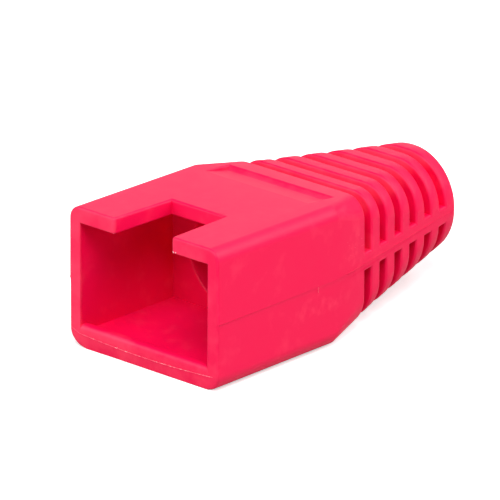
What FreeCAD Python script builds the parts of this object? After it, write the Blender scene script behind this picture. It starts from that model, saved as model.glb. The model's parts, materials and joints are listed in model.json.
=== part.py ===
import FreeCAD, Part
import Sketcher
import math
import os
from FreeCAD import Vector
from types import SimpleNamespace

# Strain relief boot for an 8-way modular plug, moulded in one piece from soft plastic.
#
# Frame: +Z up, +Y from the plug socket to the cable end, X across.
# The origin is in the plane of the flat base, at the middle of the boot's footprint.
# The body is drawn with its mouth face at y = 0, so its sketches lie at distances
# behind the mouth, and its Placement then moves it forward by half its length.

NODE = "strain_relief_boot"

# name, value in mm (angles in degrees), meaning
SIZES = [
    ("overall_length", 27.8, "mouth face to the cable end's face"),
    ("body_width", 14.0, "widest part of the head, on the parting plane"),
    ("mouth_height", 10.3, "base to the top, at the mouth face"),
    ("head_fall", 0.12, "fall of the top, from the mouth face to the start of the taper"),
    ("parting_height", 5.0, "base to the parting plane of the mould"),
    ("flank_draft", 1.0, "lean of the head's flanks, each way from the parting plane"),
    ("head_length", 12.1, "mouth face to where the taper starts"),
    ("top_corner_radius", 0.95, "long top corners of the head"),
    ("base_corner_radius", 1.25, "long bottom corners of the head"),
    ("bevel_height", 0.87, "bevel under the mouth face, up the face in the middle"),
    ("bevel_crown", 0.29, "rise of the bevel's top edge from the middle to the flanks"),
    ("bevel_depth", 0.12, "bevel under the mouth face, back along the base in the middle"),
    ("neck_share", 0.33, "place of the neck, the taper's middle section, along the taper"),
    ("neck_fall", 0.67, "fall of the top, from the mouth face to the neck"),
    ("neck_rise", 0.37, "rise of the underside, from the base to the neck"),
    ("neck_top_radius", 1.9, "top corners of the neck"),
    ("neck_base_radius", 2.65, "bottom corners of the neck"),
    ("tail_diameter", 7.78, "outside of the cable end"),
    ("tail_axis_height", 5.19, "base plane to the axis of the bore and the cable end"),
    ("tail_flat", 0.15, "flats between the corner arcs of the cable end"),
    ("recess_width", 9.6, "latch recess at the back of the top panel, across"),
    ("recess_lead", 0.7, "start of the recess's ramp, ahead of the taper"),
    ("recess_run", 2.55, "start of the ramp to the step that ends the recess"),
    ("recess_drop", 0.45, "fall of the ramp, from its start to the step"),
    ("recess_fillet", 0.4, "fillet between the ramp and the step"),
    ("socket_width", 11.87, "plug socket, across"),
    ("socket_depth", 9.35, "mouth face to the socket's back wall"),
    ("floor_thickness", 1.18, "wall under the socket"),
    ("top_wall", 1.17, "wall between the socket and the top, at the mouth face"),
    ("sill_height", 0.54, "sill across the mouth, above the socket's floor"),
    ("sill_depth", 0.75, "mouth face to the back of the sill's top"),
    ("sill_slope_run", 0.3, "back of the sill's top to where its slope meets the floor"),
    ("sill_nose_radius", 0.35, "rounded front edge of the sill"),
    ("notch_mouth_width", 5.3, "latch notch at the mouth face"),
    ("notch_root_width", 4.9, "latch notch at its root"),
    ("notch_depth", 5.55, "mouth face to the root of the latch notch"),
    ("lip_corner_radius", 0.25, "upright corners of the top panel's two lips, beside the notch"),
    ("bore_diameter", 5.7, "cable bore at the cable end"),
    ("bore_land", 6.0, "straight part of the bore, from the cable end inwards"),
    ("funnel_width", 8.6, "cable bore where it opens into the socket, across"),
    ("funnel_height", 7.2, "cable bore where it opens into the socket, upright"),
    ("sleeve_wall", 0.7, "skin left round the bore under the slots"),
    ("slot_count", 6, "slots along the tail"),
    ("slot_width", 0.82, "each slot, along the tail"),
    ("first_slot_gap", 4.0, "start of the taper to the middle of the first slot"),
    ("end_collar", 1.7, "middle of the last slot to the cable end's face"),
    ("web_above", 0.75, "side webs that join the ribs, above the parting plane"),
    ("web_below", 0.57, "side webs that join the ribs, below the parting plane"),
]


class Size:
    """A value with the spreadsheet expression that drives it, and arithmetic on the two."""

    def __init__(self, text, number):
        self.text = text
        self.number = number

    def __add__(self, other):
        return Size(f"({self.text} + {text_of(other)})", self.number + number_of(other))

    def __sub__(self, other):
        return Size(f"({self.text} - {text_of(other)})", self.number - number_of(other))

    def __rsub__(self, other):
        return Size(f"({text_of(other)} - {self.text})", number_of(other) - self.number)

    def __mul__(self, other):
        return Size(f"({self.text} * {text_of(other)})", self.number * number_of(other))

    def __truediv__(self, other):
        return Size(f"({self.text} / {text_of(other)})", self.number / number_of(other))


def text_of(value):
    return value.text if isinstance(value, Size) else str(value)


def number_of(value):
    return value.number if isinstance(value, Size) else value


zero = Size("0", 0)
size = SimpleNamespace(**{name: Size("Sizes." + name, value) for name, value, _ in SIZES})
taper = size.overall_length - size.head_length
axis_height = size.tail_axis_height
shoulder_top = size.mouth_height - size.head_fall
ceiling = size.mouth_height - size.top_wall
land_start = size.overall_length - size.bore_land
slot_pitch = (taper - size.first_slot_gap - size.end_collar) / (size.slot_count - 1)


def make_sheet(doc):
    """Put every driving size in a spreadsheet cell that has the size's name as alias."""
    sheet = doc.addObject("Spreadsheet::Sheet", "Sizes")
    for row, (name, value, meaning) in enumerate(SIZES, start=1):
        sheet.set(f"A{row}", name)
        sheet.set(f"B{row}", str(value))
        sheet.set(f"C{row}", meaning)
        sheet.setAlias(f"B{row}", name)
    doc.recompute()
    return sheet


def new_sketch(body, name, role, **offset):
    """A sketch on an origin plane of the body, shifted by sizes along its own axes."""
    sketch = body.newObject("Sketcher::SketchObject", name)
    plane = next(item for item in body.Origin.OriginFeatures if item.Role == role)
    sketch.AttachmentSupport = (plane, [""])
    sketch.MapMode = "FlatFace"
    for axis, shift in offset.items():
        sketch.setExpression("AttachmentOffset.Base." + axis, text_of(shift))
    return sketch


def start(edge):
    return edge, 1


def end(edge):
    return edge, 2


def centre(edge):
    return edge, 3


def origin():
    return -1, 1


def upright_axis():
    return -2


def line(sketch, here, there):
    """A straight edge between two points, each a pair of sizes or numbers."""
    ends = [Vector(number_of(x), number_of(y)) for x, y in (here, there)]
    return sketch.addGeometry(Part.LineSegment(*ends))


def arc(sketch, middle, radius, first, last):
    """An arc about a point, anticlockwise between two angles in degrees."""
    x, y = middle
    circle = Part.Circle(Vector(number_of(x), number_of(y)), Vector(0, 0, 1), number_of(radius))
    return sketch.addGeometry(Part.ArcOfCircle(circle, math.radians(first), math.radians(last)))


def constrain(sketch, kind, *terms):
    """Add a constraint whose terms are edges, ends of edges, or numbers."""
    flat = []
    for term in terms:
        flat.extend(term if isinstance(term, tuple) else [term])
    return sketch.addConstraint(Sketcher.Constraint(kind, *flat))


def dimension(sketch, name, value, kind, *terms):
    """A named dimension that follows a size."""
    index = constrain(sketch, kind, *terms, value.number)
    sketch.renameConstraint(index, name)
    sketch.setExpression("Constraints." + name, value.text)


def slope(sketch, name, value, edge):
    """The angle of an edge from the level, in degrees, that follows a size."""
    index = constrain(sketch, "Angle", edge, math.radians(value.number))
    sketch.renameConstraint(index, name)
    sketch.setExpression("Constraints." + name, value.text + " * 1 deg")


def polygon(sketch, corners):
    """Joined lines through the corners, the last one back to the first."""
    sides = [line(sketch, a, b) for a, b in zip(corners, corners[1:] + corners[:1])]
    for first, second in zip(sides, sides[1:] + sides[:1]):
        constrain(sketch, "Coincident", end(first), start(second))
    return sides


def centred_rectangle(sketch, width, low, high):
    """A rectangle about the sketch's upright axis; returns bottom, right, top, left."""
    half = width / 2
    left_edge = half * -1
    sides = polygon(sketch, [(left_edge, low), (half, low), (half, high), (left_edge, high)])
    bottom, right, top, left = sides
    constrain(sketch, "Symmetric", start(bottom), end(bottom), upright_axis())
    constrain(sketch, "Horizontal", top)
    constrain(sketch, "Vertical", right)
    constrain(sketch, "Vertical", left)
    dimension(sketch, f"width_{bottom}", width, "DistanceX", start(bottom), end(bottom))
    return sides


def volume_of(body):
    return 0 if body.Shape.isNull() else body.Shape.Volume


def cut(body, name, sketch, length, midplane=False, reverse=False):
    """Pocket a sketch by a length, or by half of it to each side."""
    before = volume_of(body)
    pocket = body.newObject("PartDesign::Pocket", name)
    pocket.Profile = sketch
    pocket.Midplane = midplane
    pocket.Reversed = reverse
    pocket.setExpression("Length", length.text)
    body.Document.recompute()
    print(name, "cuts", round(before - volume_of(body), 2), "mm3")
    return pocket


def ruled_loft(body, kind, name, sections):
    """Join sections in order by straight lines, to add or to cut."""
    before = volume_of(body)
    loft = body.newObject("PartDesign::" + kind, name)
    loft.Profile = sections[0]
    loft.Sections = sections[1:]
    loft.Ruled = True
    body.Document.recompute()
    print(name, "changes the volume by", round(volume_of(body) - before, 2), "mm3")
    return loft


def outer_section(body, name, distance, width, split, bottom, top, base_radius, top_radius, draft):
    """One upright section of the outer form, behind the mouth by the distance.

    Its ten edges are the base, the top, four corner arcs, and on each side a lower and
    an upper flank, which meet at the split height and lean in from there by the draft.
    """
    sketch = new_sketch(body, name, "XZ_Plane", z=distance * -1)
    half = width / 2
    low_x = half - base_radius
    high_x = half - top_radius
    low_z = bottom + base_radius
    high_z = top - top_radius

    base = line(sketch, (low_x * -1, bottom), (low_x, bottom))
    base_right = arc(sketch, (low_x, low_z), base_radius, -90, 0)
    lower_right = line(sketch, (half, low_z), (half, split))
    upper_right = line(sketch, (half, split), (half, high_z))
    top_right = arc(sketch, (high_x, high_z), top_radius, 0, 90)
    lid = line(sketch, (high_x, top), (high_x * -1, top))
    top_left = arc(sketch, (high_x * -1, high_z), top_radius, 90, 180)
    upper_left = line(sketch, (half * -1, high_z), (half * -1, split))
    lower_left = line(sketch, (half * -1, split), (half * -1, low_z))
    base_left = arc(sketch, (low_x * -1, low_z), base_radius, 180, 270)
    chain = [base, base_right, lower_right, upper_right, top_right,
             lid, top_left, upper_left, lower_left, base_left]
    for first, second in zip(chain, chain[1:] + chain[:1]):
        at_split = first in (lower_right, upper_left)
        constrain(sketch, "Coincident" if at_split else "Tangent", end(first), start(second))

    for flat in (base, lid):
        constrain(sketch, "Symmetric", start(flat), end(flat), upright_axis())
    constrain(sketch, "Symmetric", end(upper_left), end(lower_right), upright_axis())
    constrain(sketch, "Equal", base_right, base_left)
    constrain(sketch, "Equal", top_right, top_left)

    dimension(sketch, "width", width, "DistanceX", end(upper_left), end(lower_right))
    dimension(sketch, "split", split, "DistanceY", origin(), end(lower_right))
    dimension(sketch, "lower_part", split - bottom, "DistanceY", end(base), end(lower_right))
    dimension(sketch, "upper_part", top - split, "DistanceY", end(lower_right), start(lid))
    dimension(sketch, "base_corner", base_radius, "Radius", base_right)
    dimension(sketch, "top_corner", top_radius, "Radius", top_right)
    slope(sketch, "lower_lean", 90 - draft, lower_right)
    slope(sketch, "upper_lean", draft + 90, upper_right)
    return sketch


def at_neck(at_head, at_tail):
    """A size that runs from the head's value to the cable end's, where the neck is."""
    return at_head + (at_tail - at_head) * size.neck_share


def outer_form(body):
    """Loft the box-like head, the crowned neck and the round cable end."""
    sections = [
        outer_section(
            body, name, distance,
            width=size.body_width,
            split=size.parting_height,
            bottom=zero,
            top=top,
            base_radius=size.base_corner_radius,
            top_radius=size.top_corner_radius,
            draft=size.flank_draft,
        )
        for name, distance, top in (
            ("mouth_section", zero, size.mouth_height),
            ("shoulder_section", size.head_length, shoulder_top),
        )
    ]
    sections.append(outer_section(
        body, "neck_section", size.head_length + taper * size.neck_share,
        width=at_neck(size.body_width, size.tail_diameter),
        split=at_neck(size.parting_height, axis_height),
        bottom=size.neck_rise,
        top=size.mouth_height - size.neck_fall,
        base_radius=size.neck_base_radius,
        top_radius=size.neck_top_radius,
        draft=at_neck(size.flank_draft, zero),
    ))
    tail_radius = size.tail_diameter / 2
    sections.append(outer_section(
        body, "cable_end_section", size.overall_length,
        width=size.tail_diameter,
        split=axis_height,
        bottom=axis_height - tail_radius,
        top=axis_height + tail_radius,
        base_radius=tail_radius - size.tail_flat / 2,
        top_radius=tail_radius - size.tail_flat / 2,
        draft=zero,
    ))
    return ruled_loft(body, "AdditiveLoft", "outer_form", sections)


def latch_recess(body):
    """A shallow ramp in the top, across most of its width, that ends in a filleted step."""
    sketch = new_sketch(body, "recess_profile", "YZ_Plane")
    front_y = size.head_length - size.recess_lead
    step_y = front_y + size.recess_run
    low = shoulder_top - size.recess_drop
    clear = size.mouth_height + size.top_wall
    round_y = step_y - size.recess_fillet
    round_z = low + size.recess_fillet
    ramp = line(sketch, (front_y, shoulder_top), (round_y, low))
    fillet = arc(sketch, (round_y, round_z), size.recess_fillet, -90, 0)
    step = line(sketch, (step_y, round_z), (step_y, clear))
    lid = line(sketch, (step_y, clear), (front_y, clear))
    front = line(sketch, (front_y, clear), (front_y, shoulder_top))
    constrain(sketch, "Tangent", end(ramp), start(fillet))
    constrain(sketch, "Tangent", end(fillet), start(step))
    for first, second in ((step, lid), (lid, front), (front, ramp)):
        constrain(sketch, "Coincident", end(first), start(second))
    constrain(sketch, "Vertical", step)
    constrain(sketch, "Vertical", front)
    constrain(sketch, "Horizontal", lid)
    dimension(sketch, "front", front_y, "DistanceX", origin(), start(ramp))
    dimension(sketch, "run", size.recess_run, "DistanceX", start(ramp), end(step))
    dimension(sketch, "top", shoulder_top, "DistanceY", origin(), start(ramp))
    dimension(sketch, "clear", clear, "DistanceY", origin(), start(lid))
    dimension(sketch, "drop", size.recess_drop, "DistanceY", start(fillet), start(ramp))
    dimension(sketch, "round", size.recess_fillet, "Radius", fillet)
    return cut(body, "latch_recess", sketch, size.recess_width, midplane=True)


def bevel_section(body, name, distance, height):
    """The space under the bevel, behind the mouth by the distance; its top edge is crowned."""
    sketch = new_sketch(body, name, "XZ_Plane", z=distance * -1)
    half = size.body_width / 2
    crown = size.bevel_crown
    side_z = height + crown
    low_z = height - size.bevel_height * 3
    radius = (half * half + crown * crown) / (crown * 2)
    sweep = math.degrees(math.asin(half.number / radius.number))
    top = arc(sketch, (0, height + radius), radius, 270 - sweep, 270 + sweep)
    right_shelf = line(sketch, (half, side_z), (half * 2, side_z))
    right = line(sketch, (half * 2, side_z), (half * 2, low_z))
    bottom = line(sketch, (half * 2, low_z), (half * -2, low_z))
    left = line(sketch, (half * -2, low_z), (half * -2, side_z))
    left_shelf = line(sketch, (half * -2, side_z), (half * -1, side_z))
    chain = [top, right_shelf, right, bottom, left, left_shelf]
    for first, second in zip(chain, chain[1:] + chain[:1]):
        constrain(sketch, "Coincident", end(first), start(second))
    constrain(sketch, "Symmetric", start(top), end(top), upright_axis())
    constrain(sketch, "Symmetric", start(bottom), end(bottom), upright_axis())
    for level in (right_shelf, left_shelf):
        constrain(sketch, "Horizontal", level)
    for upright in (right, left):
        constrain(sketch, "Vertical", upright)
    dimension(sketch, "across", size.body_width, "DistanceX", start(top), end(top))
    dimension(sketch, "outside", size.body_width * 2, "DistanceX", end(bottom), start(bottom))
    dimension(sketch, "crown_radius", radius, "Radius", top)
    dimension(sketch, "side_height", side_z, "DistanceY", origin(), end(top))
    dimension(sketch, "clear", side_z - low_z, "DistanceY", end(right), start(right))
    return sketch


def mouth_bevel(body):
    """Bevel the bottom edge of the mouth face; the bevel grows a little to the flanks."""
    height = size.bevel_height
    face = bevel_section(body, "bevel_at_mouth", zero, height)
    behind = bevel_section(body, "bevel_behind", size.bevel_depth * 2, height * -1)
    return ruled_loft(body, "SubtractiveLoft", "mouth_bevel", [face, behind])


def slots(body):
    """Cut one slot above and one below the side webs, right through, and repeat the pair."""
    first_slot = size.head_length + size.first_slot_gap
    sketch = new_sketch(body, "slot_pair", "XZ_Plane", z=size.slot_width / 2 - first_slot)
    reach = size.mouth_height
    web_top = size.parting_height + size.web_above
    web_bottom = size.parting_height - size.web_below
    upper = centred_rectangle(sketch, size.body_width, web_top, web_top + reach)
    lower = centred_rectangle(sketch, size.body_width, web_bottom - reach, web_bottom)
    dimension(sketch, "web_top", web_top, "DistanceY", origin(), start(upper[0]))
    dimension(sketch, "web_bottom", web_bottom, "DistanceY", origin(), start(lower[2]))
    for name, sides in (("upper", upper), ("lower", lower)):
        dimension(sketch, name + "_reach", reach, "DistanceY", start(sides[1]), end(sides[1]))
    pocket = cut(body, "slot_cut", sketch, size.slot_width)
    pattern = body.newObject("PartDesign::LinearPattern", "slot_row")
    pattern.Originals = [pocket]
    axis = next(item for item in body.Origin.OriginFeatures if item.Role == "Y_Axis")
    pattern.Direction = (axis, [""])
    pattern.Mode = "Spacing"
    pattern.setExpression("Offset", slot_pitch.text)
    pattern.setExpression("Occurrences", size.slot_count.text)
    body.Tip = pattern
    body.Document.recompute()
    return pattern


def circle_about_bore(body, name, distance, width):
    """A circle about the bore's axis, behind the mouth by the distance."""
    sketch = new_sketch(body, name, "XZ_Plane", z=distance * -1, y=axis_height)
    radius = number_of(width / 2)
    circle = sketch.addGeometry(Part.Circle(Vector(0, 0), Vector(0, 0, 1), radius))
    constrain(sketch, "Coincident", centre(circle), origin())
    dimension(sketch, "across", width, "Diameter", circle)
    return sketch


def oval_about_bore(body, name, distance, width, height):
    """A level oval about the bore's axis, behind the mouth by the distance."""
    sketch = new_sketch(body, name, "XZ_Plane", z=distance * -1, y=axis_height)
    tip = Vector(number_of(width / 2), 0)
    crest = Vector(0, number_of(height / 2))
    oval = sketch.addGeometry(Part.Ellipse(tip, crest, Vector(0, 0)))
    sketch.exposeInternalGeometry(oval)
    across = oval + 1
    upright = oval + 2
    constrain(sketch, "Coincident", centre(oval), origin())
    constrain(sketch, "Horizontal", across)
    dimension(sketch, "across", width, "Distance", across)
    dimension(sketch, "upright", height, "Distance", upright)
    return sketch


def sleeve(body):
    """Put back a tapered sleeve round the bore, so the slots are blind."""
    skin = size.sleeve_wall * 2
    last_slot = size.overall_length - size.end_collar
    root = oval_about_bore(body, "sleeve_root", size.socket_depth,
                           size.funnel_width + skin, size.funnel_height + skin)
    waist = circle_about_bore(body, "sleeve_waist", land_start, size.bore_diameter + skin)
    tip = circle_about_bore(body, "sleeve_tip", last_slot + size.slot_width,
                            size.bore_diameter + skin)
    return ruled_loft(body, "AdditiveLoft", "sleeve", [root, waist, tip])


def socket(body):
    """The pocket that takes the plug body, with a low sill across its mouth."""
    sketch = new_sketch(body, "socket_profile", "YZ_Plane")
    ahead = size.sill_depth * -1
    floor_z = size.floor_thickness
    sill_top = floor_z + size.sill_height
    nose = size.sill_nose_radius
    slope_end = size.sill_depth + size.sill_slope_run
    front = line(sketch, (ahead, ceiling), (ahead, sill_top - nose))
    run_in = line(sketch, (ahead, sill_top - nose), (0, sill_top - nose))
    rounding = arc(sketch, (nose, sill_top - nose), nose, 90, 180)
    sill = line(sketch, (nose, sill_top), (size.sill_depth, sill_top))
    back_slope = line(sketch, (size.sill_depth, sill_top), (slope_end, floor_z))
    floor = line(sketch, (slope_end, floor_z), (size.socket_depth, floor_z))
    wall = line(sketch, (size.socket_depth, floor_z), (size.socket_depth, ceiling))
    lid = line(sketch, (size.socket_depth, ceiling), (ahead, ceiling))
    for first, second in ((front, run_in), (sill, back_slope), (back_slope, floor),
                          (floor, wall), (wall, lid), (lid, front)):
        constrain(sketch, "Coincident", end(first), start(second))
    constrain(sketch, "Perpendicular", end(run_in), end(rounding))
    constrain(sketch, "Tangent", start(rounding), start(sill))
    constrain(sketch, "PointOnObject", end(rounding), upright_axis())
    for level in (run_in, sill, floor, lid):
        constrain(sketch, "Horizontal", level)
    for upright in (front, wall):
        constrain(sketch, "Vertical", upright)
    dimension(sketch, "ahead", size.sill_depth, "DistanceX", start(front), origin())
    dimension(sketch, "ceiling", ceiling, "DistanceY", origin(), start(lid))
    dimension(sketch, "floor", floor_z, "DistanceY", origin(), start(floor))
    dimension(sketch, "sill_height", size.sill_height, "DistanceY", start(floor), end(sill))
    dimension(sketch, "sill_depth", size.sill_depth, "DistanceX", origin(), end(sill))
    dimension(sketch, "slope_run", size.sill_slope_run, "DistanceX", end(sill), start(floor))
    dimension(sketch, "nose", nose, "Radius", rounding)
    dimension(sketch, "depth", size.socket_depth, "DistanceX", origin(), start(wall))
    return cut(body, "plug_socket", sketch, size.socket_width, midplane=True)


def notch(body):
    """The slot in the top wall that clears the plug's latch; it widens towards the mouth."""
    sketch = new_sketch(body, "notch_outline", "XY_Plane", z=ceiling - size.top_wall)
    depth = size.notch_depth
    ahead = size.top_wall
    spread = size.notch_mouth_width + (size.notch_mouth_width - size.notch_root_width) * ahead / depth
    wide = spread / 2
    narrow = size.notch_root_width / 2
    front, right, back, left = polygon(sketch, [
        (wide * -1, ahead * -1),
        (wide, ahead * -1),
        (narrow, depth),
        (narrow * -1, depth),
    ])
    constrain(sketch, "Symmetric", start(front), end(front), upright_axis())
    constrain(sketch, "Symmetric", start(back), end(back), upright_axis())
    dimension(sketch, "spread", spread, "DistanceX", start(front), end(front))
    dimension(sketch, "root", size.notch_root_width, "DistanceX", end(back), start(back))
    dimension(sketch, "ahead", ahead, "DistanceY", start(front), origin())
    dimension(sketch, "depth", depth, "DistanceY", origin(), start(back))
    return cut(body, "latch_notch", sketch, size.mouth_height, reverse=True)


def lip_corners(body):
    """Round the two upright corners where the notch opens in the mouth face."""
    base = body.Tip
    side = number_of(size.notch_mouth_width / 2)
    touch = 0.001
    picked = []
    for index, edge in enumerate(base.Shape.Edges, start=1):
        ends = [vertex.Point for vertex in edge.Vertexes]
        beside_notch = all(abs(abs(point.x) - side) < touch for point in ends)
        in_face = all(abs(point.y) < touch for point in ends)
        if beside_notch and in_face:
            picked.append(f"Edge{index}")
    fillet = body.newObject("PartDesign::Fillet", "lip_corners")
    fillet.Base = (base, picked)
    fillet.setExpression("Radius", size.lip_corner_radius.text)
    body.Document.recompute()
    print("lip_corners rounds", len(picked), "edges")
    return fillet


def funnel(body):
    """The bore's entry: oval where it opens into the socket, round where the land starts."""
    entry = oval_about_bore(body, "funnel_entry", size.socket_depth,
                            size.funnel_width, size.funnel_height)
    throat = circle_about_bore(body, "funnel_throat", land_start, size.bore_diameter)
    return ruled_loft(body, "SubtractiveLoft", "bore_funnel", [entry, throat])


def bore(body):
    """The straight land of the bore, from the funnel out through the cable end."""
    sketch = circle_about_bore(body, "bore_outline", land_start, size.bore_diameter)
    return cut(body, "cable_bore", sketch, size.bore_land + size.sleeve_wall)


def main():
    doc = FreeCAD.newDocument("strain_relief_boot")
    make_sheet(doc)
    body = doc.addObject("PartDesign::Body", NODE)
    body.Label = NODE
    body.setExpression("Placement.Base.y", (size.overall_length / -2).text)
    for step in (outer_form, latch_recess, mouth_bevel, slots, sleeve,
                 socket, notch, lip_corners, funnel, bore):
        step(body)
    doc.recompute()
    for item in doc.Objects:
        if "Invalid" in item.State or "Error" in item.State:
            raise RuntimeError(f"{item.Name}: {item.State}")
    shape = body.Shape
    if shape.isNull() or not shape.isValid() or len(shape.Solids) != 1:
        raise RuntimeError(NODE + " is not one valid solid")
    print(NODE, "volume", round(shape.Volume, 1), "mm3,", len(shape.Faces), "faces")
    os.makedirs("parts", exist_ok=True)
    shape.exportStep(f"parts/{NODE}.step")


main()
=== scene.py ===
# %% [markdown]
# # A strain relief boot
# The boot is one soft moulding. It slips over the back of a modular plug, and its slotted
# tail lets the cable bend without a kink. The solid model gives every real size, so this
# lesson only adds what a mould and a warehouse add: softened edges, the step where the
# two halves of the mould met, some flash, and a satin plastic with a little wear.

import bmesh
import bpy
import json
import math
import random
from mathutils import Matrix
from mathutils import Vector
from mathutils import noise as ripples
from mathutils.bvhtree import BVHTree

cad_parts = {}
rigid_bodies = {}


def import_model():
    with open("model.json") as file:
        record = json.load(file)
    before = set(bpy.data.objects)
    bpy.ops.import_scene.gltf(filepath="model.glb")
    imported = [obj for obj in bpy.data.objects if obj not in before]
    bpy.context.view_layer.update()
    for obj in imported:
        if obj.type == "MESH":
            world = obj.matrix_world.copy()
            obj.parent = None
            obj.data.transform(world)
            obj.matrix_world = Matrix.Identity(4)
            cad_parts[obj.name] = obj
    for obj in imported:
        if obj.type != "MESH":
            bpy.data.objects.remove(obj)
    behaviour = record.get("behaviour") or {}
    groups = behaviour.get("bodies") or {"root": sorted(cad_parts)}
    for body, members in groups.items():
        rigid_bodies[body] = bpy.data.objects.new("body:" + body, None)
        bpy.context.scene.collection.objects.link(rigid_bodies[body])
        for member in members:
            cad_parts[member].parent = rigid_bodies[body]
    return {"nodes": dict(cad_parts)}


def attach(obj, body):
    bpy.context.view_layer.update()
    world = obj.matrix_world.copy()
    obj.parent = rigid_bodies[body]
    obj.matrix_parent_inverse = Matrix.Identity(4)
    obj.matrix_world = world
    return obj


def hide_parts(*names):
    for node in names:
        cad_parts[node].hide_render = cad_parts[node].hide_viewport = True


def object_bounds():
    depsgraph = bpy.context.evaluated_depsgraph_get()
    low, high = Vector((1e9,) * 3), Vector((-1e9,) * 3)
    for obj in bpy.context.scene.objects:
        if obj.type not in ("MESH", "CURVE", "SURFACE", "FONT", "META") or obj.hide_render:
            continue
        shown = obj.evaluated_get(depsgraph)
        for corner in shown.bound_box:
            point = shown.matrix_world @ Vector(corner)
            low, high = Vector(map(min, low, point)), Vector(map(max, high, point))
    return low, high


for leftover in list(bpy.data.objects):
    bpy.data.objects.remove(leftover)

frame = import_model()
BOOT = "strain_relief_boot"
solid_low, solid_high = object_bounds()
print("solid model:", [round(1000 * side, 2) for side in solid_high - solid_low], "mm")

# %% [markdown]
# ## Units
# Blender works in metres here, and the boot is under 30 mm long. Sizes are easier to read
# in millimetres, so one constant turns them into metres where they are used.

# %% Millimetres
MM = 0.001


def in_mm(x, y, z):
    return Vector((x, y, z)) * MM


# %% [markdown]
# ## The camera
# A small part is best seen from some way off through a long lens, so that its far end
# looks hardly smaller than its near end. The camera could be turned with three angles,
# but it is easier to check when it is built from the direction it looks in: azimuth goes
# round the boot, elevation lifts the camera, and a trace of roll tips it.

# %% Place the camera
AZIMUTH = math.radians(42.36)
ELEVATION = math.radians(20.346)
ROLL = math.radians(0.112)
DISTANCE = 528.97 * MM
AIM = in_mm(0, 0.1, 5.15)

ahead = Vector((
    -math.sin(AZIMUTH) * math.cos(ELEVATION),
    math.cos(AZIMUTH) * math.cos(ELEVATION),
    -math.sin(ELEVATION),
))
level_right = Vector((math.cos(AZIMUTH), math.sin(AZIMUTH), 0))
level_up = level_right.cross(ahead)
right = level_right * math.cos(ROLL) + level_up * math.sin(ROLL)
up = level_up * math.cos(ROLL) - level_right * math.sin(ROLL)

lens = bpy.data.cameras.new("camera")
lens.sensor_width = 36
lens.lens = 550.75
lens.shift_x = -0.0632
lens.shift_y = -0.0074
lens.clip_start = 10 * MM
lens.clip_end = 20
camera = bpy.data.objects.new("camera", lens)
turn = Matrix((right, up, -ahead)).transposed().to_4x4()
camera.matrix_world = Matrix.Translation(AIM - ahead * DISTANCE) @ turn
bpy.context.scene.collection.objects.link(camera)
bpy.context.scene.camera = camera
print("camera at", [round(1000 * place) for place in camera.matrix_world.translation], "mm")

# %% [markdown]
# ## Shader maths in plain Python
# A procedural finish is arithmetic on values that change over the surface. Wiring every
# Math node by hand hides that arithmetic. The class below wraps an output socket, so
# `1 - mask * 0.3` adds the nodes itself, also when the plain number comes first. Every
# other node comes from the one `node` method of the finish: type, settings, then sockets.

# %% Wrap sockets and materials
class Value:
    """A number that changes over the surface: an output socket with arithmetic."""

    def __init__(self, finish, socket):
        self.finish = finish
        self.socket = socket

    def combine(self, operation, first, second):
        maths = self.finish.node("ShaderNodeMath", {"operation": operation}, {0: first, 1: second})
        return maths.out()

    def __add__(self, other):
        return self.combine("ADD", self, other)

    def __radd__(self, other):
        return self.combine("ADD", other, self)

    def __sub__(self, other):
        return self.combine("SUBTRACT", self, other)

    def __rsub__(self, other):
        return self.combine("SUBTRACT", other, self)

    def __mul__(self, other):
        return self.combine("MULTIPLY", self, other)

    def __rmul__(self, other):
        return self.combine("MULTIPLY", other, self)


class Node:
    """A shader node whose outputs are asked for by name or number."""

    def __init__(self, finish, node):
        self.finish = finish
        self.node = node

    def out(self, name=0):
        return Value(self.finish, self.node.outputs[name])


class Finish:
    """A material that is built from Python expressions."""

    def __init__(self, name):
        self.material = bpy.data.materials.new(name)
        self.material.use_nodes = True
        self.tree = self.material.node_tree
        self.tree.nodes.clear()

    def node(self, kind, settings=None, sockets=None):
        made = self.tree.nodes.new(kind)
        for name, value in (settings or {}).items():
            setattr(made, name, value)
        for name, value in (sockets or {}).items():
            if isinstance(value, Value):
                self.tree.links.new(value.socket, made.inputs[name])
            else:
                made.inputs[name].default_value = value
        return Node(self, made)

    def show(self, surface):
        """Send the finished surface to the material's output."""
        self.node("ShaderNodeOutputMaterial", None, {"Surface": surface})
        print(self.material.name, "has", len(self.tree.nodes), "nodes")


# %% [markdown]
# ## The moulded body
# On the real boot no outside edge is sharp: the mould is cut with small radii, and soft
# plastic shrinks away from its corners. Inside corners stay crisp and dark. A copy of the
# solid's mesh is welded, and its flat faces are merged, so that each real edge is one
# edge again. A sliver that lies folded over its neighbour is ironed out first. Then every
# outside edge gets its own radius through a bevel weight.

# %% Weld a copy of the solid
WELD_REACH = 0.012 * MM
SLIVER_TURN = math.radians(170)
FLAT_BEFORE = math.radians(1)


def merge_flat_faces(shape, most):
    """Merge neighbouring faces wherever the turn between them is under the angle given."""
    bmesh.ops.dissolve_limit(
        shape,
        angle_limit=most,
        verts=shape.verts,
        edges=shape.edges,
    )


shape = bmesh.new()
shape.from_mesh(frame["nodes"][BOOT].data)
bmesh.ops.remove_doubles(shape, verts=shape.verts, dist=WELD_REACH)
folds = [edge for edge in shape.edges if edge.calc_face_angle(0) > SLIVER_TURN]
bmesh.ops.dissolve_edges(shape, edges=folds)
print("slivers ironed out:", len(folds))
merge_flat_faces(shape, FLAT_BEFORE)
print("merged to", len(shape.faces), "faces")

# %% [markdown]
# ## Panels in the mouth face
# The mouth face is one flat ring with a gap in it. A bevel can fold such a shape over
# itself, so it is first cut into plain panels along the lines of the socket and the notch.

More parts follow.
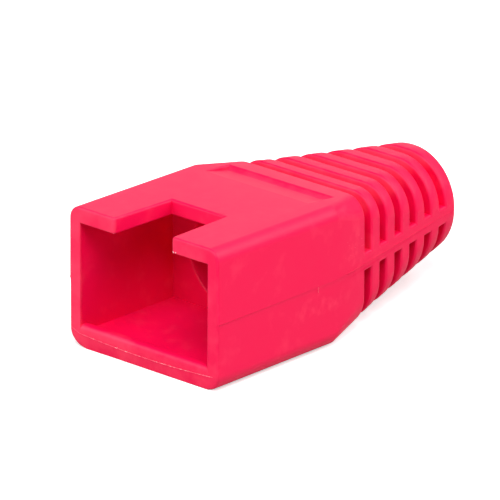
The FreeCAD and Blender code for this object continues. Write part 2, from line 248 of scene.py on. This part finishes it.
# %% Cut the mouth face into panels
FRONT = solid_low.y
MOUTH_DEPTH = 0.2 * MM
FACING_FRONT = -0.95
SOCKET_SIDE = 5.935 * MM
SOCKET_CEILING = 9.13 * MM
SILL_FRONT = 1.37 * MM
NOTCH_SIDE = 2.65 * MM
ON_THE_LINE = 0.0005 * MM


def cut_faces(shape, chosen, point, normal):
    """Draw the line of a plane across the chosen faces and return what lies on it."""
    faces = [face for face in shape.faces if chosen(face)]
    edges = list({edge for face in faces for edge in face.edges})
    verts = list({vert for face in faces for vert in face.verts})
    drawn = bmesh.ops.bisect_plane(
        shape,
        geom=faces + edges + verts,
        dist=ON_THE_LINE,
        plane_co=point,
        plane_no=normal,
    )
    return drawn["geom_cut"]


def in_mouth_face(face):
    at_front = face.calc_center_median().y < FRONT + MOUTH_DEPTH
    return at_front and face.normal.y < FACING_FRONT


for side in (-1, 1):
    cut_faces(shape, in_mouth_face, (side * SOCKET_SIDE, 0, 0), (1, 0, 0))
    cut_faces(shape, in_mouth_face, (side * NOTCH_SIDE, 0, 0), (1, 0, 0))
for level in (SILL_FRONT, SOCKET_CEILING):
    cut_faces(shape, in_mouth_face, (0, 0, level), (0, 0, 1))
print("panels in the mouth face:", sum(in_mouth_face(face) for face in shape.faces))

# %% [markdown]
# ## How round each edge is
# The outside of the head, the notch and the ribs are the softest, because fingers and the
# plug's latch rub there. The inner rim of the socket is crisper, and so is the rim of the
# hollow in the top, which lies on both sides of the shoulder. An edge that turns by less
# than 40 degrees is part of a curve and needs no rounding.

# %% Give the edges their radii
LARGEST_RADIUS = 0.2 * MM
CRISP_RADIUS = 0.12 * MM
SHARP_TURN = math.radians(40)
SLACK = 0.01 * MM
HEAD_LENGTH = 12.1 * MM
SHOULDER = FRONT + HEAD_LENGTH
HOLLOW_SIDE = 5.1 * MM
HOLLOW_REACH = 2.6 * MM
HOLLOW_BOTTOM = 9.6 * MM


def radius_of(edge):
    """The rounding of an edge in metres, or zero where it stays sharp."""
    if not edge.is_manifold or not edge.is_convex:
        return 0
    if edge.calc_face_angle(0) < SHARP_TURN:
        return 0
    middle = (edge.verts[0].co + edge.verts[1].co) / 2
    inside = abs(middle.x) < SOCKET_SIDE + SLACK and middle.z < SOCKET_CEILING + SLACK
    if inside and middle.y < SHOULDER:
        return CRISP_RADIUS
    hollow = abs(middle.x) < HOLLOW_SIDE and abs(middle.y - SHOULDER) < HOLLOW_REACH
    if hollow and middle.z > HOLLOW_BOTTOM:
        return CRISP_RADIUS
    return LARGEST_RADIUS


weight = shape.edges.layers.float.new("bevel_weight_edge")
rounded = 0
for edge in shape.edges:
    edge[weight] = radius_of(edge) / LARGEST_RADIUS
    rounded += edge[weight] > 0
print("edges to round:", rounded)

# %% [markdown]
# ## Mending what the bevel folds
# Where three roundings meet in a space smaller than they are, the bevel can fold a scrap of
# surface over its neighbour. Such a scrap shows as a black speck. A face that is partly
# turned round is cut into triangles first, so that each fold lies along an edge. Then the
# shortest side beside each fold shrinks to a point, round after round, eight rounds in all.

# %% Tools that mend folded faces
FOLD_TURN = math.radians(115)
NO_LENGTH = 0.0005 * MM


def cut_torn_faces(shape):
    """Cut each face that partly faces the wrong way into triangles; return how many."""
    torn = set()
    for corners in shape.calc_loop_triangles():
        a, b, c = [corner.vert.co for corner in corners]
        face = corners[0].face
        if len(face.verts) > 3 and (b - a).cross(c - a).dot(face.normal) < 0:
            torn.add(face)
    bmesh.ops.triangulate(shape, faces=list(torn))
    return len(torn)


def pull_folds_flat(shape):
    """Shrink the shortest side beside each fold to a point; return how many shrank."""
    shape.normal_update()
    busy = set()
    shrinking = []
    for edge in shape.edges:
        if edge.calc_face_angle(0) > FOLD_TURN:
            sides = [side for face in edge.link_faces for side in face.edges]
            shortest = min(sides, key=lambda side: side.calc_length())
            if not busy.intersection(shortest.verts):
                busy.update(shortest.verts)
                shrinking.append(shortest)
    bmesh.ops.collapse(shape, edges=shrinking)
    bmesh.ops.dissolve_degenerate(shape, dist=NO_LENGTH, edges=shape.edges)
    shape.normal_update()
    return len(shrinking)


# %% Round the edges
ROUNDING_STEPS = 3
MENDING_ROUNDS = 8
FLAT_AFTER = math.radians(0.6)
sharp_mesh = bpy.data.meshes.new("sharp boot")
shape.to_mesh(sharp_mesh)
shape.free()
boot = bpy.data.objects.new("boot", sharp_mesh)
bpy.context.scene.collection.objects.link(boot)
rounding = boot.modifiers.new("rounded edges", "BEVEL")
rounding.limit_method = "WEIGHT"
rounding.width = LARGEST_RADIUS
rounding.segments = ROUNDING_STEPS
rounding.use_clamp_overlap = False
rounding.loop_slide = False
rounding.miter_outer = "MITER_ARC"
graph = bpy.context.evaluated_depsgraph_get()
rounded_mesh = bpy.data.meshes.new_from_object(boot.evaluated_get(graph))
boot.modifiers.remove(rounding)
boot.data = rounded_mesh
shape = bmesh.new()
shape.from_mesh(rounded_mesh)
for _ in range(MENDING_ROUNDS):
    print("faces cut, folds pulled flat:", cut_torn_faces(shape), pull_folds_flat(shape))
merge_flat_faces(shape, FLAT_AFTER)
print("rounded body has", len(shape.faces), "faces")

# %% [markdown]
# ## Crisp inside corners
# Even shading blends the light over every edge that counts as smooth. In an inside corner
# that would smear a shadow over both walls, so each edge that still turns by more than 38
# degrees is marked as sharp. The rounded edges turn in smaller steps and stay smooth.

# %% Keep the inside corners crisp
CRISP_TURN = math.radians(38)
for edge in shape.edges:
    edge.smooth = edge.calc_face_angle(0) < CRISP_TURN
print("edges kept crisp:", sum(not edge.smooth for edge in shape.edges))

# %% [markdown]
# ## The parting step
# The boot is moulded in two halves that meet half way up the flanks. They never meet quite
# flush, so a fine step runs along the head and dies out on the neck. It could be a line in
# a bump map, but a real step catches the light from any side. The flanks are cut along
# four lines, and three of them are moved in by a few hundredths of a millimetre.

# %% Step the flanks where the two halves meet
PARTING_HEIGHT = 5.0 * MM
PARTING_RISE = 0.0121
SLOTS_START = SHOULDER + 3.59 * MM
FADE = 2.5 * MM
FACING_SIDEWAYS = 0.3
HEAD_FLANK = 6.4 * MM
NECK_FLANK = 4.2 * MM
STEP_LINES = (  # height and inset in millimetres, and whether the line is crisp
    (0.1, 0.03, False),
    (0.0, 0.0, True),
    (-0.07, 0.05, True),
    (-0.5, 0.025, False),
)


def on_flank(face, side):
    """Whether a face looks sideways and lies outside the side given."""
    outside = abs(face.calc_center_median().x) > side
    return outside and abs(face.normal.x) > FACING_SIDEWAYS


def on_head_flank(face):
    return on_flank(face, HEAD_FLANK) and face.calc_center_median().y < SHOULDER


def on_neck_flank(face):
    return on_flank(face, NECK_FLANK) and SHOULDER < face.calc_center_median().y < SLOTS_START


def step_flanks(chosen, slope):
    """Draw the four lines of the step and return how many points they moved."""
    moved = 0
    for height, inset, crisp in STEP_LINES:
        level = Vector((0, SHOULDER, PARTING_HEIGHT + height * MM))
        for item in cut_faces(shape, chosen, level, (0, -slope, 1)):
            if isinstance(item, bmesh.types.BMVert):
                share = max(0, min(1, (SLOTS_START - item.co.y) / FADE))
                item.co.x -= math.copysign(share * inset * MM, item.co.x)
                moved += 1
            elif crisp:
                item.smooth = False
    return moved


print("points in the step on the head:", step_flanks(on_head_flank, 0))
print("points in the step on the neck:", step_flanks(on_neck_flank, PARTING_RISE))

# %% [markdown]
# ## Room for the flash
# Flash stands proud of the mouth face, and that face is the frontmost face of the boot. So
# the front of the boot is squeezed back a little, at the mouth face by less than the
# thickness of a hair. The finished skin is also kept, so that small marks can be laid on
# it. Then the body is fixed to the model's one body, and it is shown in place of the solid.

# %% Set the mouth face in
FLASH_ROOM = 0.045 * MM
SQUEEZED = 0.6 * MM
set_in = 0
for vert in shape.verts:
    depth = (vert.co.y - FRONT) / SQUEEZED
    if depth < 1:
        vert.co.y += FLASH_ROOM * (1 - depth)
        set_in += 1
skin_of_boot = BVHTree.FromBMesh(shape)
print("points set in:", set_in)

# %% Keep the finished body
shape.to_mesh(rounded_mesh)
shape.free()
rounded_mesh.shade_smooth()
weighted = boot.modifiers.new("even shading", "WEIGHTED_NORMAL")
weighted.keep_sharp = True
print("finished body has", len(rounded_mesh.polygons), "faces")
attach(boot, "root")
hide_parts(BOOT)

# %% [markdown]
# ## Flash along the crease
# Where the mouth face meets the bevel under it, the two halves of the mould pinch out a
# hair of plastic. It is thicker in some places than in others, it breaks off here and
# there, and one end of it curls up. A thin tube follows the crown of the crease, and
# smooth noise sets its thickness.

# %% Draw a thin tube along a path
SPOKES = 6


def add_tube(shape, path, radii, sideways):
    """Add a closed tube with its own radius at every point of the path."""
    rings = []
    for centre, radius in zip(path, radii):
        ring = []
        for spoke in range(SPOKES):
            angle = math.tau * spoke / SPOKES
            offset = sideways * math.cos(angle) + Vector((0, 0, math.sin(angle)))
            ring.append(shape.verts.new(centre + offset * radius))
        rings.append(ring)
    for first, second in zip(rings, rings[1:]):
        for spoke in range(SPOKES):
            following = (spoke + 1) % SPOKES
            shape.faces.new((first[spoke], first[following], second[following], second[spoke]))
    shape.faces.new(rings[0])
    shape.faces.new(reversed(rings[-1]))


def keep_piece(shape, name):
    """Turn finished geometry into a piece that rides on the boot."""
    bmesh.ops.recalc_face_normals(shape, faces=shape.faces)
    made = bpy.data.meshes.new(name)
    shape.to_mesh(made)
    shape.free()
    made.shade_smooth()
    piece = bpy.data.objects.new(name, made)
    bpy.context.scene.collection.objects.link(piece)
    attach(piece, "root")
    print(name, "has", len(made.polygons), "faces")
    return piece


# %% Lay the flash
CREASE_HEIGHT = 0.87 * MM
CREASE_CROWN = 0.29 * MM
HALF_WIDTH = 7.0 * MM
FLASH_START = -6.75 * MM
FLASH_END = 6.45 * MM
FLASH_STEPS = 160
THINNEST = 0.008 * MM
THICKEST = 0.032 * MM
WAVE = 0.35 * MM
CURL = 0.7 * MM
CURL_RISE = 0.35
EVEN_SWELL = 0.5
SWELL_CHANGE = 0.9


def crease_height(across):
    """How high the crease under the mouth lies, at a place across the boot."""
    return CREASE_HEIGHT + CREASE_CROWN * (across / HALF_WIDTH) ** 2


flash_shape = bmesh.new()
line = []
radii = []
for step in range(FLASH_STEPS + 1):
    across = FLASH_START + (FLASH_END - FLASH_START) * step / FLASH_STEPS
    lifted = CURL_RISE * max(0, FLASH_START + CURL - across)
    swell = EVEN_SWELL + SWELL_CHANGE * ripples.noise(Vector((across / WAVE, 0, 0)))
    line.append(Vector((across, FRONT + FLASH_ROOM, crease_height(across) + lifted)))
    radii.append(THINNEST + (THICKEST - THINNEST) * min(1, max(0, swell)))
add_tube(flash_shape, line, radii, Vector((0, 1, 0)))
flash = keep_piece(flash_shape, "flash")

# %% [markdown]
# ## Flakes and specks
# Crumbs of flash stay where the trimming knife left them: on the corners of the notch,
# along the crease and one rim, and in a rubbed patch on the neck. Each crumb is a tiny
# flattened lump. Its place is found by shooting a ray at the boot, so it always sits on
# the skin.

# %% A tool that lays one flake
chance = random.Random(11)
FLATNESS = 0.45
LEAST_SWELL = 0.55


def add_flake(shape, origin, aim, size):
    """Add a small uneven lump where a ray from the origin meets the boot."""
    hit, facing, _, _ = skin_of_boot.ray_cast(origin, aim)
    lump = bmesh.ops.create_icosphere(shape, subdivisions=1, radius=1)
    turn = facing.to_track_quat("Z", "Y").to_matrix()
    for vert in lump["verts"]:
        uneven = chance.uniform(LEAST_SWELL, 1)
        local = Vector((vert.co.x * size, vert.co.y * size, vert.co.z * size * FLATNESS))
        vert.co = hit + turn @ (local * uneven)


# %% Scatter the flakes
AHEAD = -20  # millimetres, like BESIDE, and both are well clear of the boot
BESIDE = 20
OVER_CREASE = 0.06 * MM
BACKWARD = Vector((0, 1, 0))
INWARD = Vector((-1, 0, 0))
crumbs = bmesh.new()


def scatter(count, pick_origin, aim, smallest, largest):
    """Lay flakes where rays from random origins meet the boot, with sizes in millimetres."""
    for _ in range(count):
        origin = pick_origin()
        add_flake(crumbs, origin, aim, chance.uniform(smallest, largest) * MM)


def right_notch_corner():
    return in_mm(chance.gauss(2.78, 0.1), AHEAD, chance.gauss(9.2, 0.08))


def left_notch_corner():
    return in_mm(chance.gauss(-2.72, 0.05), AHEAD, chance.gauss(9.18, 0.05))


def along_crease():
    across = chance.uniform(-6.6, 6.3) * MM
    return Vector((across, AHEAD * MM, crease_height(across) + OVER_CREASE))


def rubbed_neck():
    return in_mm(BESIDE, chance.gauss(0.5, 0.55), chance.gauss(6.6, 0.5))


def left_rim():
    return in_mm(chance.uniform(-6.5, -3.2), AHEAD, chance.uniform(2, 9.6))


scatter(9, right_notch_corner, BACKWARD, 0.02, 0.07)
scatter(3, left_notch_corner, BACKWARD, 0.02, 0.04)
scatter(26, along_crease, BACKWARD, 0.012, 0.035)
scatter(22, rubbed_neck, INWARD, 0.012, 0.03)
scatter(7, left_rim, BACKWARD, 0.012, 0.025)
flakes = keep_piece(crumbs, "flakes")

# %% [markdown]
# ## The tick on the flank
# The halves of the mould carried a small mark across the parting line. It is an upright
# ridge, barely proud of the flank.

# %% Raise the tick
TICK_HALF_HEIGHT = 0.3 * MM
TICK_RADIUS = 0.032 * MM
tick_shape = bmesh.new()
hit, _, _, _ = skin_of_boot.ray_cast(in_mm(BESIDE, -3.8, 4.9), INWARD)
ridge = bmesh.ops.create_uvsphere(tick_shape, u_segments=12, v_segments=8, radius=1)
for vert in ridge["verts"]:
    vert.co = hit + Vector((
        vert.co.x * TICK_RADIUS,
        vert.co.y * TICK_RADIUS,
        vert.co.z * TICK_HALF_HEIGHT,
    ))
tick = keep_piece(tick_shape, "tick")

# %% [markdown]
# ## The seam on the tail
# Behind the neck the two halves meet on the narrow webs between the slots. There the seam
# is only a low thread of plastic. Rays find the skin of each web, and a thin tube is laid
# half sunk along it on both sides.

# %% Lay the seam
SEAM_RADIUS = 0.022 * MM
SEAM_STEPS = 60
SEAM_START = SLOTS_START - FADE
SEAM_END = solid_high.y - 0.5 * MM
seam_shape = bmesh.new()
for side in (-1, 1):
    line = []
    for step in range(SEAM_STEPS + 1):
        along = SEAM_START + (SEAM_END - SEAM_START) * step / SEAM_STEPS
        height = PARTING_HEIGHT + PARTING_RISE * (along - SHOULDER)
        origin = Vector((side * BESIDE * MM, along, height))
        hit, _, _, _ = skin_of_boot.ray_cast(origin, Vector((-side, 0, 0)))
        line.append(hit)
    add_tube(seam_shape, line, [SEAM_RADIUS] * len(line), Vector((1, 0, 0)))
seam = keep_piece(seam_shape, "seam")

# %% [markdown]
# ## The plastic
# Soft red plastic has a strong body colour with almost no green in it, and a satin skin
# that lays a thin white veil over it where it faces a pale room. The veil is left to the
# shader's own reflection. Over the surface only small things change: a mottle from the
# way the melt cooled, a fine grain from the mould, a paler colour on the mouth face that
# fades towards its right end, and paler rubbed patches.

# %% Tools for masks and colours
def clamp(value):
    """Keep a value between zero and one."""
    held = value.finish.node("ShaderNodeClamp", None, {"Value": value, "Min": 0.0, "Max": 1.0})
    return held.out()


def rise(value, start, width):
    """Zero up to the start and one from a width behind it."""
    return clamp((value - start) * (1 / width))


def noise(place, size, detail):
    """Cloudy noise whose lumps are about as large as the size given."""
    texture = place.finish.node(
        "ShaderNodeTexNoise",
        {"noise_dimensions": "3D"},
        {"Vector": place, "Scale": 1 / size, "Detail": detail},
    )
    return texture.out(0)


def patch(place, centre, reach):
    """One at the centre, fading to zero at the reach given for each axis."""
    away = place.finish.node(
        "ShaderNodeVectorMath",
        {"operation": "SUBTRACT"},
        {0: place, 1: centre},
    ).out()
    scaled = place.finish.node(
        "ShaderNodeVectorMath",
        {"operation": "DIVIDE"},
        {0: away, 1: reach},
    ).out()
    length = place.finish.node("ShaderNodeVectorMath", {"operation": "LENGTH"}, {0: scaled})
    return clamp(1 - length.out("Value"))


def mix_colours(share, first, second):
    """The first colour where the share is zero, and the second where it is one."""
    mixed = share.finish.node(
        "ShaderNodeMix",
        {"data_type": "RGBA"},
        {0: share, 6: first, 7: second},  # a Mix node keeps its colours in sockets 6 and 7
    )
    return mixed.out(2)


# %% Masks for the worn skin
plastic = Finish("soft_plastic")
place = plastic.node("ShaderNodeTexCoord").out("Object")
axes = plastic.node("ShaderNodeSeparateXYZ", None, {0: place})
across = axes.out("X")
along = axes.out("Y")
height = axes.out("Z")
# The mouth face gets a paler colour, fading to less than half of it towards its right end.
mouth_face = 1 - rise(along, FRONT + 0.1 * MM, 0.2 * MM)
mouth_face = mouth_face * (1 - 0.55 * rise(across, -2 * MM, 9 * MM))
mottle = noise(place, 1.6 * MM, 4)
cloud = noise(place, 0.5 * MM, 3)
neck_rub = patch(place, in_mm(6, 0.6, 6.6), in_mm(4, 1.7, 1.9))
flank_rub = patch(place, in_mm(7, -3.6, 3.6), in_mm(2, 3.6, 1.8))
rubbed = clamp((neck_rub + flank_rub) * (3.2 * cloud - 1.0))

# %% [markdown]
# ## Light in narrow places
# Soft plastic lets some light through, and that light comes out again in narrow places. So
# the foot of the hollow and the slots on top look paler than a solid red skin would make
# them. Real scattering is slow to render. Here the ambient occlusion node measures how
# closed in each point is, and the colour gets paler by that measure on the top ribs.

# %% Masks for the soaked light
hollow_foot = patch(place, in_mm(0, -0.35, 9.74), in_mm(40, 0.9, 0.3))
openness = plastic.node(
    "ShaderNodeAmbientOcclusion",
    {"samples": 8, "only_local": True},
    {"Distance": 1.4 * MM},
).out("AO")
on_ribs = rise(along, 1.0 * MM, 0.3 * MM)
on_top = rise(height, 7.9 * MM, 1.0 * MM)
soaked = 0.5 * hollow_foot + 1.5 * ((1 - openness) * on_ribs * on_top)

# %% Mix the plastic
DEEP_RED = (0.84, 0.0006, 0.066, 1)
PALE_RED = (0.97, 0.045, 0.115, 1)
grain = noise(place, 0.12 * MM, 2)
pale = 0.6 * mouth_face + 0.45 * rubbed + soaked
pale = clamp(pale + 1.5 * (mottle - 0.56) + 0.3 * (cloud - 0.5))
body_colour = mix_colours(pale, DEEP_RED, PALE_RED)
relief = plastic.node(
    "ShaderNodeBump",
    None,
    {"Strength": 0.12, "Distance": 0.02 * MM, "Height": grain},
)
skin = plastic.node(
    "ShaderNodeBsdfPrincipled",
    None,
    {
        "Base Color": body_colour,
        "Roughness": 0.42 + 0.12 * mottle,
        "IOR": 1.32,
        "Normal": relief.out("Normal"),
    },
)
plastic.show(skin.out())
boot.data.materials.clear()
boot.data.materials.append(plastic.material)
seam.data.materials.append(plastic.material)

# %% [markdown]
# ## Pale crumbs
# Flash is so thin that light passes through it, so it looks nearly white beside the body.
# Noise makes only some of it shine, and the crumbs on one corner of the notch the most.

# %% Mix the flash
FLASH_RED = (0.95, 0.07, 0.16, 1)
FLASH_WHITE = (1.0, 0.62, 0.68, 1)
crumb = Finish("pale_flash")
place = crumb.node("ShaderNodeTexCoord").out("Object")
lip_corner = patch(place, in_mm(2.7, -13.8, 9.15), in_mm(0.7, 0.7, 0.7))
sparkle = clamp(5 * noise(place, 0.3 * MM, 3) - 2.6 + 4 * lip_corner)
crumb_colour = mix_colours(sparkle, FLASH_RED, FLASH_WHITE)
crumb_skin = crumb.node(
    "ShaderNodeBsdfPrincipled",
    None,
    {"Base Color": crumb_colour, "Roughness": 0.35 + 0.1 * sparkle, "IOR": 1.45},
)
crumb.show(crumb_skin.out())
for piece in (flash, flakes, tick):
    piece.data.materials.append(crumb.material)

# %% [markdown]
# ## The table
# A plain white table keeps the boot's soft shadow. The camera sees it lighter than the
# boot does, so it looks white without throwing too much light back on the underside.

# %% Lay the table
TABLE_SIDE = 3
TABLE_SHADE = (0.48, 0.48, 0.48, 1)
TABLE_SEEN = (0.85, 0.85, 0.85, 1)
TABLE_GLOW = 0.5
WHITE = (1, 1, 1, 1)
table_mesh = bpy.data.meshes.new("table")
table_mesh.from_pydata(
    [
        (-TABLE_SIDE, -TABLE_SIDE, 0),
        (TABLE_SIDE, -TABLE_SIDE, 0),
        (TABLE_SIDE, TABLE_SIDE, 0),
        (-TABLE_SIDE, TABLE_SIDE, 0),
    ],
    [],
    [(0, 1, 2, 3)],
)
table = bpy.data.objects.new("table", table_mesh)
bpy.context.scene.collection.objects.link(table)
white = Finish("white_table")
seen = white.node("ShaderNodeLightPath").out("Is Camera Ray")
shade = mix_colours(seen, TABLE_SHADE, TABLE_SEEN)
paint = white.node("ShaderNodeBsdfDiffuse", None, {"Color": shade})
glow = white.node("ShaderNodeEmission", None, {"Color": WHITE, "Strength": seen * TABLE_GLOW})
surface = white.node("ShaderNodeAddShader", None, {0: paint.out(), 1: glow.out()})
white.show(surface.out())
table.data.materials.append(white.material)

# %% [markdown]
# ## The light
# Soft boxes stand all round, because satin plastic shows what it mirrors. The key stands
# high over the camera. Two fills light the flank, two light the mouth from the left and
# from the front, and two faint ones behind give the top its sheen.

# %% Light the room
ROOM_GLOW = 0.04
room = bpy.data.worlds.new("room")
room.use_nodes = True
sky = room.node_tree.nodes["Background"]
sky.inputs["Color"].default_value = WHITE
sky.inputs["Strength"].default_value = ROOM_GLOW
bpy.context.scene.world = room
print("the room glows at", ROOM_GLOW)

# %% Set up the soft boxes
LAMP_SIZE = 280 * MM
LAMP_REACH = 520 * MM
LAMP_AIM = in_mm(0, 0, 5)


def softbox(name, azimuth, elevation, power):
    """A square lamp on a sphere round the boot. Azimuth starts at +X, angles in degrees."""
    lamp = bpy.data.lights.new(name, "AREA")
    lamp.shape = "SQUARE"
    lamp.size = LAMP_SIZE
    lamp.energy = power
    turn_round = math.radians(azimuth)
    lift = math.radians(elevation)
    outward = Vector((
        math.cos(lift) * math.cos(turn_round),
        math.cos(lift) * math.sin(turn_round),
        math.sin(lift),
    ))
    facing = (-outward).to_track_quat("-Z", "Y").to_matrix().to_4x4()
    stand = bpy.data.objects.new(name, lamp)
    stand.matrix_world = Matrix.Translation(LAMP_AIM + outward * LAMP_REACH) @ facing
    bpy.context.scene.collection.objects.link(stand)
    print(name, "gives", power, "W")


softbox("key", -48, 55, 2.6)
softbox("right fill", 54, 34, 1.35)
softbox("right front fill", 12, 22, 0.65)
softbox("left fill", -130, 30, 1.0)
softbox("front fill", -100, 20, 0.65)
softbox("sheen", 132, 18, 0.3)
softbox("high sheen", 92, 45, 0.35)

# %% Colour management
bpy.context.scene.view_settings.view_transform = "Standard"
